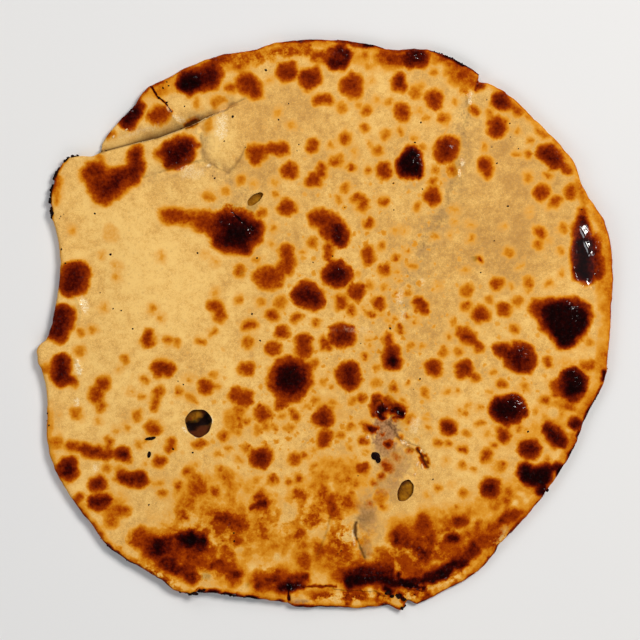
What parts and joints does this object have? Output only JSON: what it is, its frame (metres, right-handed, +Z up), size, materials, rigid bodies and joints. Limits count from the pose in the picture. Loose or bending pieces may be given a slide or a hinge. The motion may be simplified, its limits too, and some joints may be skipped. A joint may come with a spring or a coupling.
{
  "type": "aloo paratha",
  "caption": "Round pan-fried stuffed flatbread, thin and nearly flat, with a folded flap at the edge, low browned blisters and small burst holes that show a thin potato filling.",
  "frame": {"origin": "middle of the base, on the surface that the bread lies on", "axes": "+Z up through the bread's thickness; +X to the right and +Y away, seen from above with the folded flap at the upper left"},
  "size_m": [0.2307, 0.2289, 0.0065],
  "materials": {
    "dough": "pan-fried whole-wheat dough, cream to golden brown with dark blisters and a light film of oil",
    "filling": "moist spiced potato mash, dull olive yellow"
  },
  "bodies": {
    "root": {"dough": "dough", "potato_filling": "filling"}
  },
  "joints": []
}
